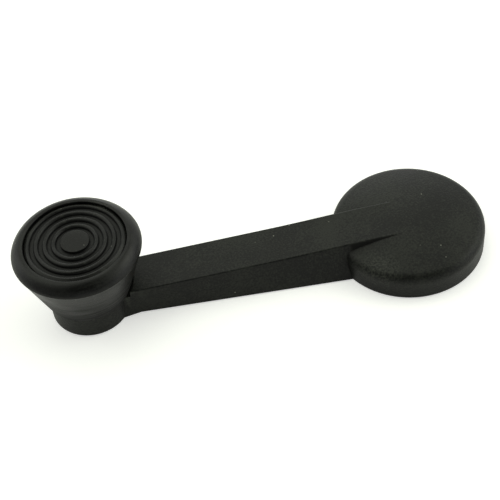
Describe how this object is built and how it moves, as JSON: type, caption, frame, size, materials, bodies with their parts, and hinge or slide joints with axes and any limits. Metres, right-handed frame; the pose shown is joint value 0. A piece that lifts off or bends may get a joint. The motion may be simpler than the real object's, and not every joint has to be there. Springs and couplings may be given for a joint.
{
  "type": "car window winder handle",
  "caption": "Moulded crank handle that winds a car door window: a domed hub with a splined socket, a flared arm and a ringed knob that turns freely on its pin.",
  "frame": {"origin": "middle of the flat floor of the splined socket, on the spindle's axis, 8 mm in front of the back plane", "axes": "+X from the spindle's axis to the knob's axis, +Z away from the door, out through the knob's face"},
  "size_m": [0.1518, 0.05, 0.0321],
  "materials": {
    "handle_plastic": "grained black moulding with a slightly green cast",
    "knob_plastic": "satin black moulding",
    "bearing_plastic": "natural acetal",
    "plated_steel": "zinc plated and passivated",
    "spring_steel": "dark oiled spring steel",
    "insert_metal": "sintered steel"
  },
  "bodies": {
    "handle": {"handle_body": "handle_plastic", "spline_insert": "insert_metal", "retaining_clip": "spring_steel", "knob_pin": "plated_steel", "rivet_washer": "plated_steel", "thrust_washer": "bearing_plastic", "wave_washer": "spring_steel"},
    "knob": {"knob_bush": "bearing_plastic", "knob_body": "knob_plastic", "knob_cap": "knob_plastic"}
  },
  "joints": [
    {"name": "knob_spin", "type": "hinge", "parent": "handle", "child": "knob", "pos_m": [0.1064, 0, 0], "axis": [0, 0, 1], "continuous": true}
  ]
}
